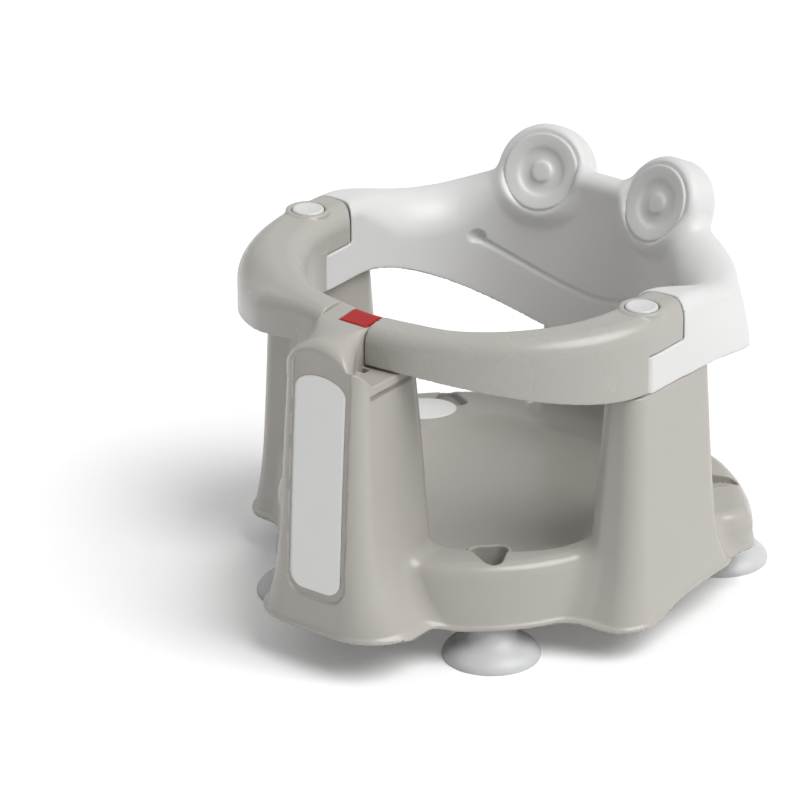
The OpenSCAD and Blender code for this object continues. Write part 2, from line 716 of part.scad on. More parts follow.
module seat_base() {
    color([0.69, 0.675, 0.65]) on_ring() difference() {
        union() {
            difference() {
                union() {
                    base_form(0);
                    base_form(-lip);
                }
                difference() {
                    base_form(base_wall);
                    pan(base_wall);
                }
            }
            head_ring_block();
            intersection() {
                base_form(1);
                at_cups() cup_boss();
            }
            both_sides() at_hinge() translate([0, 0, column_top - pin_grip - 2])
                cylinder(d = pin_d + 7, h = pin_grip + 1, $fn = 32);
        }
        pan(0);
        label_recess();
        at_cups() {
            finger_hole();
            translate([0, 0, boss_z - 1]) cylinder(d = plug_d + 0.2, h = boss_top - boss_z - 2, $fn = 32);
        }
        both_sides() {
            at_hinge() translate([0, 0, column_top - pin_grip]) cylinder(d = pin_d + 0.2, h = 60, $fn = 32);
            screw_hole([pillar_x, pillar_y], rear_top - 10, 20);
        }
        latch_space();
        arm_screw_places() screw_hole([0, 0], -1, 12);
    }
}

// Suction cup: a thin dome on the floor, a neck and a plug that is pushed into the boss.
module cup() {
    r = cup_d / 2;
    n = neck_d / 2;
    p = plug_d / 2;
    rotate_extrude($fn = 96) polygon([
        [r, 0], [r - 0.2, 1.2], [r - 4, 4.2], [r - 9, 8.6], [n + 4, 14], [n + 0.6, 18.5], [n, 23],
        [n, boss_z], [p, boss_z], [p, boss_top - 4], [0, boss_top - 4], [0, 11.5], [4, 11.2],
        [n, 9.2], [r - 11, 5.4], [r - 5, 2], [r - 2, 0]]);
}
module front_right_cup() {
    color([0.80, 0.82, 0.84, 0.7]) on_ring() translate([cup_front_x, -cup_front_y, 0]) cup();
}
module front_left_cup() {
    color([0.80, 0.82, 0.84, 0.7]) on_ring() translate([-cup_front_x, -cup_front_y, 0]) cup();
}
module rear_right_cup() {
    color([0.80, 0.82, 0.84, 0.7]) on_ring() translate([cup_rear_x, cup_rear_y, 0]) cup();
}
module rear_left_cup() {
    color([0.80, 0.82, 0.84, 0.7]) on_ring() translate([-cup_rear_x, cup_rear_y, 0]) cup();
}

module arm_screws() {
    color([0.75, 0.75, 0.76]) on_ring() arm_screw_places() screw([0, 0], -arm_wall, arm_wall + 9);
}
module shell_screws() {
    color([0.75, 0.75, 0.76]) on_ring() both_sides() screw([pillar_x, pillar_y], rear_top - base_wall, 14);
}

seat_base();
back_shell();
left_arm();
right_arm();
left_hinge_pin();
right_hinge_pin();
left_hinge_cap();
right_hinge_cap();
latch_tongue();
latch_button();
latch_collar();
latch_plate();
latch_spring();
front_left_cup();
front_right_cup();
rear_left_cup();
rear_right_cup();
arm_screws();
shell_screws();
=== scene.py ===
import json
import bmesh
import bpy
import numpy as np
from mathutils import Matrix, Vector


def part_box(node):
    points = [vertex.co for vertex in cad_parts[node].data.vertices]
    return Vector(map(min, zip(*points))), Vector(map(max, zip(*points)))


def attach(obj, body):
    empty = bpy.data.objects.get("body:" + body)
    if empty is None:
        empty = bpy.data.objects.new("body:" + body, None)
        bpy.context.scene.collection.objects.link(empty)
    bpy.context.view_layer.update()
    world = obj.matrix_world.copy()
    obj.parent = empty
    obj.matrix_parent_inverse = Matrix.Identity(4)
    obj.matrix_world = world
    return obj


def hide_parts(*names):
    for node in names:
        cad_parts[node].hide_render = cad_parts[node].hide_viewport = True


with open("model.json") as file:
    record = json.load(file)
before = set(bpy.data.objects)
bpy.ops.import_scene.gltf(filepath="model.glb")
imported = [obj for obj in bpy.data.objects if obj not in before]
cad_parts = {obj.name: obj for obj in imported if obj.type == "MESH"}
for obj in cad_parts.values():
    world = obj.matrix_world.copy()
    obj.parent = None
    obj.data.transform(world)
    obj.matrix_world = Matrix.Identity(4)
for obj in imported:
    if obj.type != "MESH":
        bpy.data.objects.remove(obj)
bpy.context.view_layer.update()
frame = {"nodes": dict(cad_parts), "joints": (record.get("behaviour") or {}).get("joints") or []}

# Seat base: one glossy grey moulding, open below. Four lobes over the suction cups, a seat
# pan between them, and four columns that carry the ring round the child. The front column
# ends in the latch's head. Sizes are in millimetres from the hinge line.
hinge_x, hinge_y, hinge_z = (1000 * c for c in frame["joints"][0]["pos_m"])
base_low = np.array(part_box("seat_base")[0]) * 1000 - (0, hinge_y, 0)
base_high = np.array(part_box("seat_base")[1]) * 1000 - (0, hinge_y, 0)
rim_z = 28
foot_drop = 8
deck_z = 64
pan_z = 50
pan_x = 107
pan_front = 84
pan_back = 126
base_wall = 3
lip = 1.4
shelf_z = 193.5
column_top = 174.2
rear_top = 140
front_col_x = 30
head_right = 6.4
head_wing = 24
head_front = 155
ring_top = 224
ring_front_top = 220
ring_in = (110, 94)
ring_out = (147, 120)
button_centre = (-6, -105)
button_size = (20.5, 18.6)
label_half = 21
label_low = 50
label_high = 217
label_depth = 1.6
cups = ((74, -77), (110, 124))
boss_r = 10
plug_r = 7.1
side_top = ((118, -27), (147, -27), (147, 56), (118, 56))
side_foot = ((106, -53), (156, -37), (152, 84), (106, 76))
rear_head = ((-50, 143.6), (50, 143.6), (50, 166), (-50, 166))
rear_foot = ((-58, 112), (58, 112), (58, 186), (-58, 186))
blend = 12
notch_centre = (9.5, -123.6)
notch_half = (2.8, 3)
notch_low = 184
notch_high = 199
well_gap = 0.8
well_floor = 209.5
base_step = (1.5, 1.5, 3)
head_step = 0.9


def ease(t):
    """Smooth step 3t^2 - 2t^3, with t held between 0 and 1."""
    t = np.clip(t, 0, 1)
    return t * t * (3 - 2 * t)


def mix(a, b, t):
    """Straight mix: a where t is 0, b where t is 1."""
    return a + (b - a) * t


def edge(a, b, r):
    """What lies in both forms, with the edge between them rounded to radius r: outside
    their rounded corner the value is the distance from the corner's centre, less r."""
    u = np.maximum(a + r, 0)
    v = np.maximum(b + r, 0)
    return np.hypot(u, v) + np.minimum(np.maximum(a, b) + r, 0) - r


def fillet(a, b, r):
    """What lies in either form, with the inner corner between them filled to radius r."""
    return -edge(-a, -b, r)


def turned(x, y):
    """Distance from the middle, and angle over the line of the hinges in degrees, the same
    on the left as on the right: -90 in front, 90 behind."""
    return np.hypot(x, y), np.degrees(np.arctan2(y, np.abs(x)))


def oval(x, y, half, depth):
    """Distance from an ellipse of these half axes, from its value over its slope."""
    g = np.sqrt((x / half) ** 2 + (y / depth) ** 2) + 1e-6
    return (g - 1) * g / (np.sqrt((x / half ** 2) ** 2 + (y / depth ** 2) ** 2) + 1e-6)


def lobes(x, y, z):
    """The body over the cups: a radius that swells over each cup, under a deck that falls
    from front to back, with its upper edge rounded."""
    r, a = turned(x, y)
    rear = 181 - 22 * ease((a - 60) / 25)
    reach = mix(123, rear, ease((a - 17) / 18))
    deck = mix(deck_z, 68 - 13 * ease((a + 20) / 60), np.clip((r - 20) / (reach - 30), 0, 1))
    return edge(0.97 * (r - reach), z - deck, mix(8, 12, ease((a - 10) / 20)))


def column(x, y, z, top, foot, height, rim, corner, even=0.28, rise=0, lead=False):
    """Four-sided column. Its corners move from top to foot by e t + (1 - e) t^7, where t
    grows from the top down to the rim, so that it spreads mostly near the foot."""
    t = np.clip((height - z) / (height - rim), 0, 1)
    k = even * t + (1 - even) * t ** 7
    along = t ** 0.8 if lead else k
    px = [mix(a[0], b[0], k) for a, b in zip(top, foot)]
    py = [mix(a[1], b[1], along) for a, b in zip(top, foot)]
    side = []
    for i, j in ((0, 1), (1, 2), (2, 3), (3, 0)):
        dx = px[j] - px[i]
        dy = py[j] - py[i]
        side.append(((x - px[i]) * dy - (y - py[i]) * dx) / np.hypot(dx, dy))
    plan = edge(np.maximum(side[1], side[3]), np.maximum(side[0], side[2]), mix(11, corner, k))
    return edge(plan, z - height - rise, 1.2)


def front_column(x, y, z):
    """Front column, whose face leans forward to the foot, and whose shelf rises to the face."""
    w = front_col_x
    top = ((-w, -head_front), (w, -head_front), (w, -92), (-w, -92))
    foot = ((-55, -164), (55, -164), (55, -76), (-55, -76))
    rise = 11 * ease((-y - 138) / 16)
    return column(x, y, z, top, foot, shelf_z, rim_z, 34, rise=rise, lead=True)


def latch_head(x, y, z):
    """Head over the front column, back to the ring's inner face: its top falls a little and
    becomes an arch towards the face, its left and front edges are rounded, and its right
    side slants from the face to the gate arm's end."""
    top = z - ring_front_top - 0.107 * np.clip(y + 94, -22, 0)
    top = top + ease((-y - 116) / 26) * (x + 3) ** 2 / 60
    soft = mix(10, 2, ease((y + 130) / 14))
    waist = head_front - 29
    flank = (29 * (x - head_right) + (head_wing - head_right) * (y + waist)) / 33.9
    plan = edge(-front_col_x - x, -head_front - y, 9)
    right = -edge(head_right - x, -flank, 4)
    plan = edge(plan, right, mix(6, 1, ease((y + 145) / 12)))
    form = edge(plan, top, soft)
    inner = -oval(x, y, *ring_in)
    form = np.maximum(form, edge(inner, top, 7.7))
    return np.maximum(form, shelf_z - 3 - z)


def pan(x, y, z):
    """Seat pan: a floor that rises with the eighth power of the way to its rim, inside a
    wall that is an ellipse in front and squarer behind."""
    r, a = turned(x, y)
    a = np.radians(a)
    n = np.where(y < 0, 2, 2 + 3 * ease(np.sin(a) / 0.6))
    wide = mix(pan_x, pan_x - 17, ease(np.sin(a) / 0.5))
    deep = np.where(y < 0, pan_front, pan_back)
    reach = ((np.cos(a) / wide) ** n + (np.abs(np.sin(a)) / deep) ** n) ** (-1 / n)
    rho = np.minimum(r / reach, 1.3)
    floor = pan_z + 14 * rho ** 8
    slope = 112 * rho ** 7 / reach
    wall = 1 + 0.03 * np.clip((z - 64) / 31, 0, 1) + 0.08 * np.clip((z - 95) / 105, 0, 1)
    return edge((floor - z) / np.sqrt(1 + slope ** 2), r - reach * wall, 5)


def label_outline(x, z, half, low, high, arch):
    """Upright outline with an arched top and rounded lower corners."""
    arched = oval(x, np.maximum(z - high + arch, 0), half, arch)
    return edge(arched, low - z, 12)


def front_face(z):
    """Place of the front column's and the head's face at a height."""
    return -head_front - 9 * np.clip((shelf_z - z) / (shelf_z - rim_z), 0, 1) ** 0.8


def finger_hole(out, across):
    """Distance from a triangle that points outwards, less the radius of its round corners."""
    base = -13
    half = 5.5
    length = 17.7
    corner = 6
    reach = np.hypot(length, half)
    t = np.clip(((out - base) * length - (across - half) * half) / reach ** 2, 0, 1)
    to_flank = np.hypot(out - base - t * length, across - half + t * half)
    to_base = np.hypot(out - base, np.maximum(across - half, 0))
    flank = ((out - base) * half + (across - half) * length) / reach
    inside = (out > base) & (flank < 0)
    return np.where(inside, np.maximum(base - out, flank), np.minimum(to_flank, to_base)) - corner


def seat_base_form(x, y, z):
    """The whole moulding: columns blended into the lobes, less pan, hollow and recesses."""
    ax = np.abs(x)
    drop = 0.5 * ease((ax - 50) / 16) * ease((20 - y) / 40)
    drop = drop + 0.5 * ease((40 - y) / 66) * ease((ax - 112) / 32)
    rim = rim_z - foot_drop * drop
    front = front_column(x, y, z)
    side = column(ax, y, z, side_top, side_foot, column_top, rim, 17, even=0.5)
    rear = column(x, y, z, rear_head, rear_foot, rear_top, rim_z, 24)
    body = fillet(lobes(x, y, z), front, 8)
    body = fillet(body, side, blend)
    body = fillet(body, rear, blend)
    rolled = edge(body - lip, z - rim - 3.4, 1.4)
    solid = edge(fillet(body, rolled, 1), rim - z, 1)
    head = latch_head(x, y, z)
    solid = fillet(solid, head, 1)
    bowl = pan(x, y, z)
    soft = mix(2.5, 11, ease((-y - 10) / 40) * ease((100 - z) / 30))
    solid = edge(solid, -bowl, soft)
    wall = base_wall + 1.5 + 2 * ease((z - rim - 2) / 8)
    hollow = np.maximum(body + wall, wall - bowl)
    solid = edge(solid, -hollow, 0.8)
    for cx, cy in cups:
        reach = np.hypot(ax - cx, y - cy)
        boss = np.maximum(reach - boss_r, 33 - z)
        solid = np.minimum(solid, np.maximum(boss, body + 1))
        solid = np.maximum(solid, -np.maximum(reach - plug_r, z - 48))
        turn = np.arctan2(cy, cx)
        out = (ax - cx) * np.cos(turn) + (y - cy) * np.sin(turn)
        across = np.abs((y - cy) * np.cos(turn) - (ax - cx) * np.sin(turn))
        pocket = finger_hole(out, across)
        solid = np.minimum(solid, np.maximum(np.maximum(pocket - 3, 45 - z), body + 1))
        solid = edge(solid, -np.maximum(pocket, 49 - z), 1.2)
    outline = label_outline(x - 1, z, label_half + 1, label_low, label_high, 16)
    recess = np.maximum(outline, y - front_face(z) - label_depth)
    solid = edge(solid, -recess, 0.9)
    notch = np.maximum(np.abs(x - notch_centre[0]) - notch_half[0],
                       np.abs(y - notch_centre[1]) - notch_half[1])
    notch = np.maximum(np.maximum(notch, notch_low - z), z - notch_high)
    solid = edge(solid, -notch, 0.5)
    well = np.maximum(np.abs(x - button_centre[0]) - button_size[0] / 2 - well_gap,
                      np.abs(y - button_centre[1]) - button_size[1] / 2 - well_gap)
    return edge(solid, -np.maximum(well, well_floor - z), 0.4)


def grid_line(low, high, step, fine):
    """Places a step apart on one axis, and half a step apart within the fine stretch."""
    line = np.arange(low - 2 * step, high + 2.5 * step, step / 2)
    whole = np.arange(len(line)) % 2 == 0
    return line[whole | ((line > fine[0]) & (line < fine[1]))]


def grid_faces(solid, index):
    """A face across every grid edge whose two ends differ, through its four cells, turned
    so that it looks away from the solid."""
    faces = []
    for axis in range(3):
        u = np.eye(3, dtype=int)[(axis + 1) % 3]
        v = np.eye(3, dtype=int)[(axis + 2) % 3]
        found = np.argwhere(np.diff(solid, axis=axis))
        found = found[np.all((found - u - v >= 0) & (found < index.shape), axis=1)]
        ring = np.stack([index[tuple((found - s).T)] for s in (u + v, v, 0 * u, u)], 1)
        ahead = solid[tuple(found.T)]
        faces.append(np.where(ahead[:, None], ring, ring[:, ::-1]))
    return np.concatenate(faces)


def slopes(form, point, reach):
    """Slope of a form at each point, from its values at this reach to either side."""
    return np.stack([form(*(point + d).T) - form(*(point - d).T)
                     for d in reach * np.eye(3)], 1) / (2 * reach)


def drawn(form, point, reach):
    """Points drawn onto the surface along the form's slope, by no more than the reach."""
    start = point.copy()
    for _ in range(3):
        slope = slopes(form, point, 0.2 * reach)
        size = (slope ** 2).sum(1, keepdims=True) + 1e-6
        point = point - form(*point.T)[:, None] * slope / size
        point = start + np.clip(point - start, -reach, reach)
    return point


def moulding(name, form, low, high, step, fine=(0, 0), skin=None, most=95000):
    """Mesh of the surface where form(x, y, z) is 0. Each grid cell that the surface crosses
    holds one vertex, first at the mean of the crossings on its edges, then drawn onto the
    surface. Above the most faces, flat places are thinned out. The normals are the slope of
    the form, or of the whole skin that the form is cut from."""
    step = np.broadcast_to(step, 3)
    fines = ((0, 0), (0, 0), fine)
    lines = [grid_line(low[i], high[i], step[i], fines[i]) for i in range(3)]
    value = form(*np.meshgrid(*lines, indexing="ij", sparse=True))
    count = np.array(value.shape) - 1
    solid = value < 0
    corners = np.array([(i, j, k) for i in (0, 1) for j in (0, 1) for k in (0, 1)])
    inside = sum(solid[i:i + count[0], j:j + count[1], k:k + count[2]].astype(np.int8)
                 for i, j, k in corners)
    cell = np.argwhere((inside > 0) & (inside < 8))
    index = np.full(count, -1)
    index[tuple(cell.T)] = np.arange(len(cell))
    held = np.stack([value[tuple((cell + c).T)] for c in corners], 1)
    point = np.zeros((len(cell), 3))
    crossings = np.zeros((len(cell), 1))
    for a in range(8):
        for bit in (4, 2, 1):
            if a & bit:
                continue
            b = a | bit
            hit = ((held[:, a] < 0) != (held[:, b] < 0))[:, None]
            t = held[:, a] / np.where(hit[:, 0], held[:, a] - held[:, b], 1)
            point += hit * (corners[a] + t[:, None] * (corners[b] - corners[a]))
            crossings += hit
    place = cell + point / crossings
    point = np.stack([np.interp(place[:, i], np.arange(count[i] + 1), lines[i])
                      for i in range(3)], 1)
    reach = 0.5 * step.min()
    faces = grid_faces(solid, index)
    piece = surface(name, drawn(form, point, reach), faces)
    if len(faces) > most:
        thinner = piece.modifiers.new("Thinner", "DECIMATE")
        thinner.ratio = most / len(faces)
        thinned = piece.evaluated_get(bpy.context.evaluated_depsgraph_get())
        mesh = bpy.data.meshes.new_from_object(thinned)
        piece.modifiers.clear()
        piece.data = mesh
        mesh.shade_smooth()
    place = np.empty(3 * len(piece.data.vertices))
    piece.data.vertices.foreach_get("co", place)
    point = drawn(form, place.reshape(-1, 3) * 1000 - (0, hinge_y, 0), 0.5 * reach)
    slope = slopes(skin or form, point, reach)
    slope /= np.linalg.norm(slope, axis=1, keepdims=True) + 1e-9
    piece.data.vertices.foreach_set("co", ((point + (0, hinge_y, 0)) / 1000).ravel())
    piece.data.normals_split_custom_set_from_vertices(slope.tolist())
    return piece


def surface(name, points, faces):
    """Smooth mesh object from points in millimetres round the hinge line, and faces."""
    mesh = bpy.data.meshes.new(name)
    mesh.from_pydata((points + (0, hinge_y, 0)) / 1000, [], faces.tolist())
    mesh.validate()
    mesh.shade_smooth()
    piece = bpy.data.objects.new(name, mesh)
    bpy.context.collection.objects.link(piece)
    return piece


def plastic(name, colour, roughness, grain=0.00002, mottle=0.02):
    """Moulded plastic: a faint mottle in the colour, uneven polish, and the fine ripple of
    a moulded skin over the slow waviness of thick walls."""
    material = bpy.data.materials.new(name)
    material.use_nodes = True
    nodes = material.node_tree.nodes
    link = material.node_tree.links.new
    shader = nodes["Principled BSDF"]
    place = nodes.new("ShaderNodeTexCoord").outputs["Object"]
    cloud = nodes.new("ShaderNodeTexNoise")
    cloud.inputs["Scale"].default_value = 45
    cloud.inputs["Detail"].default_value = 2
    link(place, cloud.inputs["Vector"])
    tint = nodes.new("ShaderNodeMix")
    tint.data_type = "RGBA"
    link(cloud.outputs["Fac"], tint.inputs["Factor"])
    tint.inputs["A"].default_value = (*(c * (1 - mottle) for c in colour), 1)
    tint.inputs["B"].default_value = (*(c * (1 + mottle) for c in colour), 1)
    link(tint.outputs["Result"], shader.inputs["Base Color"])
    polish = nodes.new("ShaderNodeMapRange")
    polish.inputs["To Min"].default_value = roughness - 0.02
    polish.inputs["To Max"].default_value = roughness + 0.02
    link(cloud.outputs["Fac"], polish.inputs["Value"])
    link(polish.outputs["Result"], shader.inputs["Roughness"])
    ripple = nodes.new("ShaderNodeTexNoise")
    ripple.inputs["Scale"].default_value = 350
    ripple.inputs["Detail"].default_value = 3
    link(place, ripple.inputs["Vector"])
    bump = nodes.new("ShaderNodeBump")
    bump.inputs["Strength"].default_value = 0.15
    bump.inputs["Distance"].default_value = grain
    link(ripple.outputs["Fac"], bump.inputs["Height"])
    link(bump.outputs["Normal"], shader.inputs["Normal"])
    return material


def finished(piece, material, body, slot, *nodes):
    """Gives a piece its material and the body it rides on, and hides the nodes it shows; the slot is
    not used.
    """
    piece.data.materials.clear()
    piece.data.materials.append(material)
    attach(piece, body)
    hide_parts(*nodes)
    return piece


grey = plastic("warm_grey_plastic", (0.41, 0.39, 0.36), 0.24)
cap_z = shelf_z - 4
seam_low = shelf_z - 9


def lower_base(x, y, z):
    """The moulding below the head, capped under the shelf's rounded edge."""
    return np.maximum(seat_base_form(x, y, z), z - cap_z)


def upper_base(x, y, z):
    """The head with its fine edges, which starts a little lower."""
    return np.maximum(seat_base_form(x, y, z), seam_low - z)


base = moulding("seat_base_moulding", lower_base, base_low - (4, 0, 0),
                (base_high[0] + 4, base_high[1], shelf_z), base_step, (17, 72), seat_base_form)
finished(base, grey, "seat", "base_plastic", "seat_base")
head = moulding("latch_head", upper_base, (-front_col_x - 3, -160, seam_low),
                (front_col_x + 3, -88, ring_front_top), head_step, skin=seat_base_form)
finished(head, grey, "seat", "base_plastic", "seat_base")

# Label plate: a bare white plate in the recess of the front column, and a bare white oval
# on the left rear deck. Both are thin printed sheets with nothing on them.
plate_half = label_half - 1.6
plate_corner = 10.5
plate_arch = 10
plate_rows = 96
plate_columns = 24


def plate_points():
    """Rows across the plate, evenly spaced in height, narrowing in a half circle at the top
    and in small corners below; the sheet stands half way out of the recess."""
    low = label_low + 5
    high = label_high - 20
    v = np.linspace(0, 1, plate_rows)[:, None]
    z = mix(low, high, 0.5 - 0.5 * np.cos(np.pi * v))
    above = np.maximum(z - high + plate_arch, 0)
    below = np.maximum(low + plate_corner - z, 0)
    half = plate_half * np.sqrt(np.maximum(1 - (above / plate_arch) ** 2, 0.001))
    half = half - plate_corner + np.sqrt(np.maximum(plate_corner ** 2 - below ** 2, 0.01))
    u = np.linspace(-1, 1, plate_columns)[None, :]
    x = half * u
    return np.stack([x, front_face(z) + label_depth - 0.5 + 0 * x, z + 0 * x], 2).reshape(-1, 3)


def strip_faces(rows, columns, closed=False):
    """Four-sided faces between neighbouring rows of a grid of points."""
    i, j = np.meshgrid(np.arange(rows - 1), np.arange(columns - (not closed)), indexing="ij")
    k = (j + 1) % columns
    return np.stack([i * columns + j, i * columns + k, (i + 1) * columns + k,
                     (i + 1) * columns + j], 2).reshape(-1, 4)


def weld_and_turn(mesh):
    """Merges doubled points, such as a pole's, and turns all faces outwards."""
    work = bmesh.new()
    work.from_mesh(mesh)
    bmesh.ops.remove_doubles(work, verts=work.verts, dist=0.000002)
    bmesh.ops.recalc_face_normals(work, faces=work.faces)
    work.to_mesh(mesh)
    work.free()
    mesh.shade_smooth()


paper = plastic("white_label_sheet", (0.8, 0.8, 0.79), 0.42, grain=0.00001, mottle=0.01)
plate = surface("label_plate", plate_points(), strip_faces(plate_rows, plate_columns))
thickness = plate.modifiers.new("Sheet", "SOLIDIFY")
thickness.thickness = 0.0004
thickness.offset = -1
plate.data.materials.append(paper)
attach(plate, "seat")

badge_centre = (-108, 94)
badge_half = (22, 19)
badge_turn = np.radians(37)


def badge_points(rings, spokes):
    """Oval sheet on the rear left deck: rings of points round its middle, on the lobe's top."""
    r, a = np.meshgrid(np.linspace(0, 1, rings), 2 * np.pi * np.arange(spokes) / spokes,
                       indexing="ij")
    u = badge_half[0] * r * np.cos(a)
    v = badge_half[1] * r * np.sin(a)
    x = badge_centre[0] + u * np.cos(badge_turn) - v * np.sin(badge_turn)
    y = badge_centre[1] + u * np.sin(badge_turn) + v * np.cos(badge_turn)
    z = np.full(x.shape, 70.0)
    for _ in range(6):
        z = z - lobes(x, y, z)
    return np.stack([x, y, z + 0.3], 2).reshape(-1, 3)


badge = surface("oval_badge", badge_points(10, 72), strip_faces(10, 72, closed=True))
weld_and_turn(badge.data)
sheet = badge.modifiers.new("Sheet", "SOLIDIFY")
sheet.thickness = 0.0006
sheet.offset = -1
badge.data.materials.append(paper)
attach(badge, "seat")

# Suction cups: translucent soft rubber, each a thin dome on a neck whose plug is pushed into
# a boss of the base.
cup_profile = ((31, 0), (31.2, 0.8), (30.8, 2.4), (29.4, 4.8), (26.8, 7.2), (23.4, 9.4),
               (20, 11.4), (17.2, 14), (15.4, 17.4), (14.4, 21), (13.8, 26), (13.4, 33),
               (7, 33.01), (7, 46), (0, 46.01), (0, 9.5), (4, 9.3), (11, 8), (20, 5),
               (26, 2), (29, 0.05))
cup_segments = 96


def revolved(name, centre, profile, segments, ring=False):
    """Profile of radius and height carried round an upright axis; a ring's profile closes
    on itself, and any other ends on the axis at both ends."""
    p = np.array(profile, float)
    a = 2 * np.pi * np.arange(segments) / segments
    points = np.stack([centre[0] + np.outer(p[:, 0], np.cos(a)),
                       centre[1] + np.outer(p[:, 0], np.sin(a)),
                       np.repeat(p[:, 1:], segments, 1)], 2).reshape(-1, 3)
    faces = strip_faces(len(p), segments, closed=True)
    if ring:
        j = np.arange(segments)
        last = (len(p) - 1) * segments
        faces = np.concatenate([faces, np.stack([last + j, last + (j + 1) % segments,
                                                 (j + 1) % segments, j], 1)])
    piece = surface(name, points, faces)
    weld_and_turn(piece.data)
    return piece


rubber = bpy.data.materials.new("clear_rubber")
rubber.use_nodes = True
clear = rubber.node_tree.nodes["Principled BSDF"]
clear.inputs["Base Color"].default_value = (0.88, 0.885, 0.89, 1)
clear.inputs["Transmission Weight"].default_value = 0.5
clear.inputs["IOR"].default_value = 1.38
clear.inputs["Roughness"].default_value = 0.3

cup_names = {(1, -1): "front_right_cup", (-1, -1): "front_left_cup",
             (1, 1): "rear_right_cup", (-1, 1): "rear_left_cup"}
for (side, end), node in cup_names.items():
    cx, cy = cups[0] if end < 0 else cups[1]
    cup = revolved(node + "_rubber", (side * cx, cy), cup_profile, cup_segments, ring=True)
    finished(cup, rubber, "seat", "cup_rubber", node)

# Back shell: a white hollow shell, moulded as a frog's head, that stands on the rear column
# and on both side columns. Two eyes rise over its rim, and the mouth is a groove.
shell_low = np.array(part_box("back_shell")[0]) * 1000 - (0, hinge_y, 0)
shell_high = np.array(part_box("back_shell")[1]) * 1000 - (0, hinge_y, 0)
shell_wall = 3.2
shell_in_back = 137
shell_out_back = 183
shell_low_back = 112
step_z = 200
seam = 0.8
arm_end_r = 27
knuckle_r = 20
eye_centre = np.array((45, 136, 228))
eye_r = 32
eye_t = 26
disc_r = 25
eye_tilt = np.radians(64)
eye_turn = np.radians(-13)
mouth_x = 77
mouth_low = 149
mouth_high = 180
shell_step = 1.6


def bell(c, power, rate):
    """Power of a sine that grows with the angle and stays at 1 once it gets there."""
    return np.sin(np.radians(np.minimum(90, rate * c))) ** power


def in_eye(x, y, z):
    """Distance from an eye's axis, and height over its face."""
    q = np.broadcast_arrays(np.abs(x) - eye_centre[0], y - eye_centre[1], z - eye_centre[2])
    turn = np.array(Matrix.Rotation(eye_turn, 3, "Z") @ Matrix.Rotation(eye_tilt, 3, "X"))
    u, v, w = (sum(turn[i, k] * q[i] for i in range(3)) for k in range(3))
    return np.hypot(u, v), w


def shell_form(x, y, z):
    """The frog's head: a wall that widens and leans inwards towards the back, with the eyes
    blended into it, less its hollow, its mouth and the room for the arms."""
    ax = np.abs(x)
    back = np.maximum(y, 0)
    r = np.hypot(ax, back)
    c = np.degrees(np.arctan2(back, ax))
    inner = mix(ring_in[0], shell_in_back, bell(c, 1.73, 1.45))
    outer = mix(ring_out[0], shell_out_back, bell(c, 1.9, 1.6))
    low = mix(column_top, shell_low_back, ease((c - 15) / 79))
    top = ring_top - 15 * ease((c - 12) / 30) + 23 * ease((c - 44) / 30)
    lean = 9 * ease(c / 45) + 17 * ease((c - 45) / 35)
    s = np.clip((z - low) / (top - low - 11), 0, 1)
    outside = r - outer + lean * (0.52 * s + 0.48 * s * s)
    deep = outer - lean - inner
    soft = np.minimum(11, 0.5 * deep + 2)
    brow = np.minimum(mix(7.7, 26, ease((c - 10) / 25)), deep - soft - 0.2)
    wall = np.maximum(edge(outside, z - top, soft), edge(inner - r, z - top, brow))
    rho, w = in_eye(x, y, z)
    eye = edge(rho - eye_r, w, 8)
    eye = edge(eye, -w - eye_t, 6)
    solid = fillet(wall, eye, 7)
    in_front = np.maximum(rho - eye_r + 7, -w)
    solid = edge(solid, -in_front, 4)
    dish = np.maximum(rho - disc_r + 1.4, -w - 5)
    solid = edge(solid, -dish, 0.8)
    solid = edge(solid, low - z, 1)
    thick = shell_wall + 3 * ease((z - low - 4) / 14)
    hollow = np.maximum(wall + thick, 12 + w - 3 * (rho > eye_r))
    solid = edge(solid, -np.maximum(hollow, z - low - 60), 0.8)
    solid = edge(solid, -mouth_groove(y, z, r, ax), 0.8)
    near = np.hypot(ax - hinge_x, y)
    above = np.maximum(step_z - seam - z, np.minimum(near - arm_end_r - seam, y))
    before = np.maximum(y, knuckle_r - near)
    return edge(solid, -np.minimum(above, before), 0.8)


def mouth_groove(y, z, r, ax):
    """Mouth: a groove along a curve that rises to the cheeks, with a dimple at each end."""
    t = np.minimum(ax / mouth_x, 1)
    line = mix(mouth_low, mouth_high, t ** 1.7)
    slope = 1.7 * (mouth_high - mouth_low) * t ** 0.7 / mouth_x
    off = (z - line) / np.sqrt(1 + slope ** 2)
    depth = r - 136.1
    beyond = np.maximum(ax - mouth_x, 0)
    groove = np.sqrt(off ** 2 + depth ** 2 + beyond ** 2) - 2.1
    cheek = np.sqrt((ax - mouth_x - 1) ** 2 + (z - mouth_high - 2) ** 2 + depth ** 2) - 4.4
    return np.maximum(np.minimum(groove, cheek), -y)


white = plastic("white_plastic", (0.66, 0.66, 0.655), 0.4, mottle=0.008)
shell = moulding("frog_shell", shell_form, shell_low, shell_high, shell_step)
finished(shell, white, "seat", "shell_plastic", "back_shell")

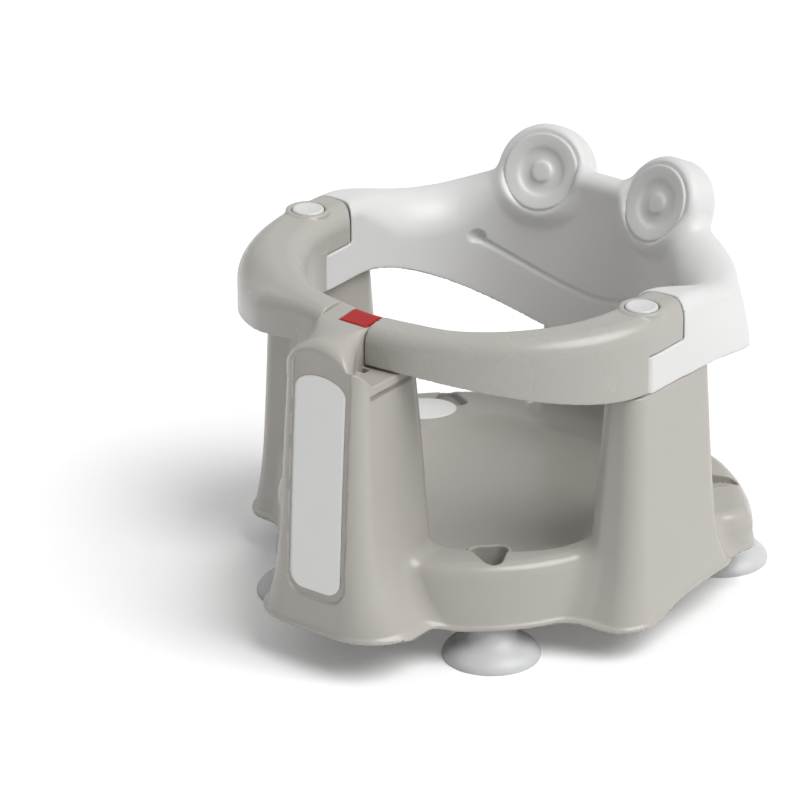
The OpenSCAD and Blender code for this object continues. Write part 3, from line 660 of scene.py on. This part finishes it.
# Eye faces: each eye's dished face has an iris step and a raised pupil, turned finely, so it
# is a mesh of its own within the shell's rim.
disc_profile = ((0, -1), (3.4, -1), (5.6, -1.05), (6.3, -1.3), (6.8, -2), (7.6, -2.75),
                (9, -3.1), (11.5, -3.2), (13.6, -3), (15, -2.4), (15.9, -1.6), (16.8, -1.15),
                (18.5, -0.8), (21, -0.35), (23.4, -0.02), (24.9, 0.06), (25.2, -0.5),
                (25.2, -4.6), (0, -4.7))
for side in (1, -1):
    disc = revolved("eye_face_" + ("left" if side > 0 else "right"), (0, 0), disc_profile, 96)
    disc.data.transform(Matrix.Translation((0, -hinge_y / 1000, 0)))
    disc.data.transform(Matrix.Rotation(side * eye_turn, 4, "Z") @ Matrix.Rotation(eye_tilt, 4, "X"))
    centre = eye_centre * (side, 1, 1) + (0, hinge_y, 0)
    disc.data.transform(Matrix.Translation(centre / 1000))
    finished(disc, white, "seat", "shell_plastic")

# Arms: two hollow grey mouldings, open below, that close the ring. The left one is screwed to
# the latch's head, and the right one swings on its pin as the gate.
arm_wall = 3.2
swell = 10
hub_r = 14.5
well_r = 10.8
gate_edge = 7.2
tongue_low = 195.4
tongue_t = 3
stem_slot = 4.5
arm_step = 1.3


def arm_form(x, y, z, wide, end):
    """One arm, on the right: an upside-down U between two ellipses, less its hollow, the
    knuckle below its round end, and all that lies beyond its end wall."""
    front = np.minimum(y, 0)
    t = np.degrees(np.arctan2(-front / 107, x / 128.5))
    bulge = wide * ease((t - 2) / 30) * ease((72 - t) / 18)
    outside = oval(x, front, ring_out[0] + bulge, ring_out[1] + bulge)
    inside = -oval(x, front, *ring_in)
    low = mix(175, 195, ease((t - 8) / 76))
    top = z - mix(ring_top, ring_front_top, ease(t / 90))
    soft = 11 + 1.1 * bulge
    brow = mix(13, 7.7, ease((t - 60) / 20))
    skin = np.maximum(edge(outside, top, soft), edge(inside, top, brow))
    solid = edge(edge(skin, low - z, 0.9), end - x, 0.9)
    near = np.hypot(x - hinge_x, y)
    past = np.maximum(-y, np.minimum(arm_end_r - near, z - step_z))
    knuckle = np.maximum(near - knuckle_r - seam, z - step_z)
    cut = np.minimum(past, knuckle)
    hollow = np.maximum(skin + arm_wall, end + arm_wall - x)
    hollow = np.maximum(hollow, arm_wall - cut)
    hollow = np.maximum(hollow, np.where(z > step_z - 1, hub_r - near, -99))
    solid = edge(solid, -hollow, 0.7)
    solid = edge(solid, -cut, 0.8)
    rim = edge(edge(near - hub_r, z - ring_top - 1.1, 1.4), step_z + 8 - z, 1)
    solid = fillet(solid, rim, 1.2)
    solid = edge(solid, -np.maximum(near - well_r, 216 - z), 0.8)
    return np.maximum(solid, -np.maximum(near - 4.05, step_z - 5 - z))


def left_arm_form(x, y, z):
    """The fixed arm, which swells outwards between hinge and head."""
    return arm_form(-x, y, z, swell, front_col_x)


def right_arm_form(x, y, z):
    """The gate arm, with its slotted tongue."""
    solid = arm_form(x, y, z, 0, gate_edge)
    tongue = np.maximum(np.abs(z - tongue_low - tongue_t / 2) - tongue_t / 2,
                        np.maximum(-11.5 - x, x - gate_edge - 2))
    tongue = np.maximum(tongue, np.abs(y + 105.35) - 8.15)
    slot = np.hypot(x + 6, y + 105) - stem_slot
    return np.minimum(solid, np.maximum(tongue, -slot))


pale_grey = plastic("arm_grey_plastic", (0.42, 0.405, 0.375), 0.27)
left = moulding("left_arm_moulding", left_arm_form, (-162, -135, 172), (-28, 30, 227), arm_step)
finished(left, pale_grey, "seat", "arm_plastic", "left_arm")
right = moulding("gate_arm_moulding", right_arm_form, (-12, -122, 172), (160, 30, 227), arm_step)
finished(right, pale_grey, "gate", "arm_plastic", "right_arm", "latch_tongue")

# Hinge pins and screws: bright turned steel, hidden under caps and in the hollows.
steel = bpy.data.materials.new("bright_steel")
steel.use_nodes = True
metal = steel.node_tree.nodes["Principled BSDF"]
metal.inputs["Base Color"].default_value = (0.62, 0.62, 0.63, 1)
metal.inputs["Metallic"].default_value = 1
metal.inputs["Roughness"].default_value = 0.3
for node in ("left_hinge_pin", "right_hinge_pin", "arm_screws", "shell_screws", "latch_spring",
             "latch_collar"):
    hidden = frame["nodes"][node]
    hidden.data.materials.clear()
    hidden.data.materials.append(steel)

# Hinge caps: white dished discs with a soft rim, pressed into the wells over the pin heads.
cap_profile = ((0, 224.7), (1.4, 224.72), (1.8, 224.9), (2.6, 224.95), (5, 225.0), (7.4, 225.3),
               (8.6, 225.6), (9.3, 225.55), (10, 225.1), (10.3, 224.3), (10.3, 217.2),
               (9.9, 217), (8, 217), (7.9, 217.4), (7.9, 222.4), (0, 222.4))
cap_white = plastic("cap_white_plastic", (0.64, 0.64, 0.635), 0.25, mottle=0.008)
for side, node, body in ((1, "right_hinge_cap", "gate"), (-1, "left_hinge_cap", "seat")):
    cap = revolved(node + "_disc", (side * hinge_x, 0), cap_profile, 96)
    finished(cap, cap_white, body, "cap_plastic", node)

# Latch: a red button whose top follows the ring, on a stem with a collar; a guide plate and
# a spring lie in the head's bore under it.
button_low = 215
button_step = 0.45


def button_form(x, y, z):
    """Block with soft upper edges, under the curved top of the ring, on a round stem."""
    along = np.abs(x - button_centre[0]) - button_size[0] / 2
    across = np.abs(y - button_centre[1]) - button_size[1] / 2
    block = edge(along, across, 1.2)
    top = z - ring_front_top + 0.1 - 0.107 * np.minimum(y + 94, 0)
    block = edge(block, top, 0.9)
    block = np.maximum(block, edge(-oval(x, y, *ring_in), top, 7.7))
    block = edge(block, button_low - z, 0.3)
    stem = np.hypot(x - button_centre[0], y - button_centre[1]) - 2
    stem = np.maximum(np.maximum(stem, z - 217), 195 - z)
    return np.minimum(block, stem)


red = plastic("red_plastic", (0.38, 0.004, 0.005), 0.33, mottle=0.03)
button = moulding("latch_button_red", button_form, (-18, -116, 194), (6, -94, 221), button_step)
finished(button, red, "button", "button_plastic", "latch_button")
dark = plastic("dark_plastic", (0.06, 0.06, 0.062), 0.4)
frame["nodes"]["latch_plate"].data.materials.clear()
frame["nodes"]["latch_plate"].data.materials.append(dark)

# Floor: a plain white studio floor that keeps the object's soft shadow. Camera rays alone see
# it glow faintly, which lightens the shadow in the picture and sheds no light on the object.
floor_mesh = bpy.data.meshes.new("floor")
floor_mesh.from_pydata([(-6, -6, 0), (6, -6, 0), (6, 6, 0), (-6, 6, 0)], [], [(0, 1, 2, 3)])
floor = bpy.data.objects.new("floor", floor_mesh)
bpy.context.collection.objects.link(floor)
floor_white = bpy.data.materials.new("floor_white")
floor_white.use_nodes = True
floor_shader = floor_white.node_tree.nodes["Principled BSDF"]
floor_shader.inputs["Base Color"].default_value = (0.93, 0.93, 0.93, 1)
floor_shader.inputs["Roughness"].default_value = 0.7
floor_path = floor_white.node_tree.nodes.new("ShaderNodeLightPath")
glow = floor_white.node_tree.nodes.new("ShaderNodeMapRange")
glow.inputs["To Max"].default_value = 0.12
floor_white.node_tree.links.new(floor_path.outputs["Is Camera Ray"], glow.inputs["Value"])
floor_white.node_tree.links.new(glow.outputs["Result"], floor_shader.inputs["Emission Strength"])
floor_mesh.materials.append(floor_white)

# Light: a surround that is dimmer in front, a large soft key light from the right, and a weak
# strip on the left. The surround is plain white where the camera looks straight at it.
world = bpy.data.worlds.new("studio")
bpy.context.scene.world = world
world.use_nodes = True
sky = world.node_tree.nodes["Background"]
sky.inputs["Color"].default_value = (1, 1, 1, 1)
direction = world.node_tree.nodes.new("ShaderNodeTexCoord")
parts = world.node_tree.nodes.new("ShaderNodeSeparateXYZ")
world.node_tree.links.new(direction.outputs["Generated"], parts.inputs["Vector"])
dim = world.node_tree.nodes.new("ShaderNodeMapRange")
dim.inputs["From Min"].default_value = -1
dim.inputs["From Max"].default_value = 0.3
dim.inputs["To Min"].default_value = 0.2
dim.inputs["To Max"].default_value = 0.5
world.node_tree.links.new(parts.outputs["Y"], dim.inputs["Value"])
path = world.node_tree.nodes.new("ShaderNodeLightPath")
level = world.node_tree.nodes.new("ShaderNodeMix")
level.inputs["B"].default_value = 1
world.node_tree.links.new(path.outputs["Is Camera Ray"], level.inputs["Factor"])
world.node_tree.links.new(dim.outputs["Result"], level.inputs["A"])
world.node_tree.links.new(level.outputs["Result"], sky.inputs["Strength"])
key_azimuth = np.radians(5)
key_height = np.radians(56)
key = bpy.data.lights.new("key", "SUN")
key.energy = 2.7
key.angle = np.radians(46)
left_strip = bpy.data.lights.new("left_strip", "AREA")
left_strip.shape = "RECTANGLE"
left_strip.size = 0.5
left_strip.size_y = 1.2
left_strip.energy = 2
key_place = Vector((np.cos(key_azimuth) * np.cos(key_height), np.sin(key_azimuth) * np.cos(key_height),
                    np.sin(key_height)))
for lamp, place in ((key, 2 * key_place), (left_strip, Vector((-1.4, -0.1, 0.7)))):
    holder = bpy.data.objects.new(lamp.name, lamp)
    holder.location = place
    holder.rotation_euler = (Vector((0, 0, 0.12)) - place).to_track_quat("-Z", "Y").to_euler()
    bpy.context.collection.objects.link(holder)
bpy.context.scene.view_settings.view_transform = "Standard"

# Camera: the photograph's, from the front right, with a long lens.
photo_width = 800
focal_pixels = 5437
distance = 3.5
shift_right = 0.04474
shift_up = 0.11504
azimuth = np.radians(37.19)
elevation = np.radians(24.34)
camera_right = Vector((np.cos(azimuth), np.sin(azimuth), 0))
camera_back = Vector((np.sin(azimuth) * np.cos(elevation), -np.cos(azimuth) * np.cos(elevation),
                      np.sin(elevation)))
camera_up = camera_back.cross(camera_right)
camera = bpy.data.objects.new("camera", bpy.data.cameras.new("camera"))
camera.data.sensor_width = 36
camera.data.lens = focal_pixels / photo_width * camera.data.sensor_width
axes = Matrix((camera_right, camera_up, camera_back)).transposed().to_4x4()
stand = distance * camera_back - shift_right * camera_right + shift_up * camera_up
camera.matrix_world = Matrix.Translation(stand + Vector((0, hinge_y / 1000, 0))) @ axes
bpy.context.collection.objects.link(camera)
bpy.context.scene.camera = camera
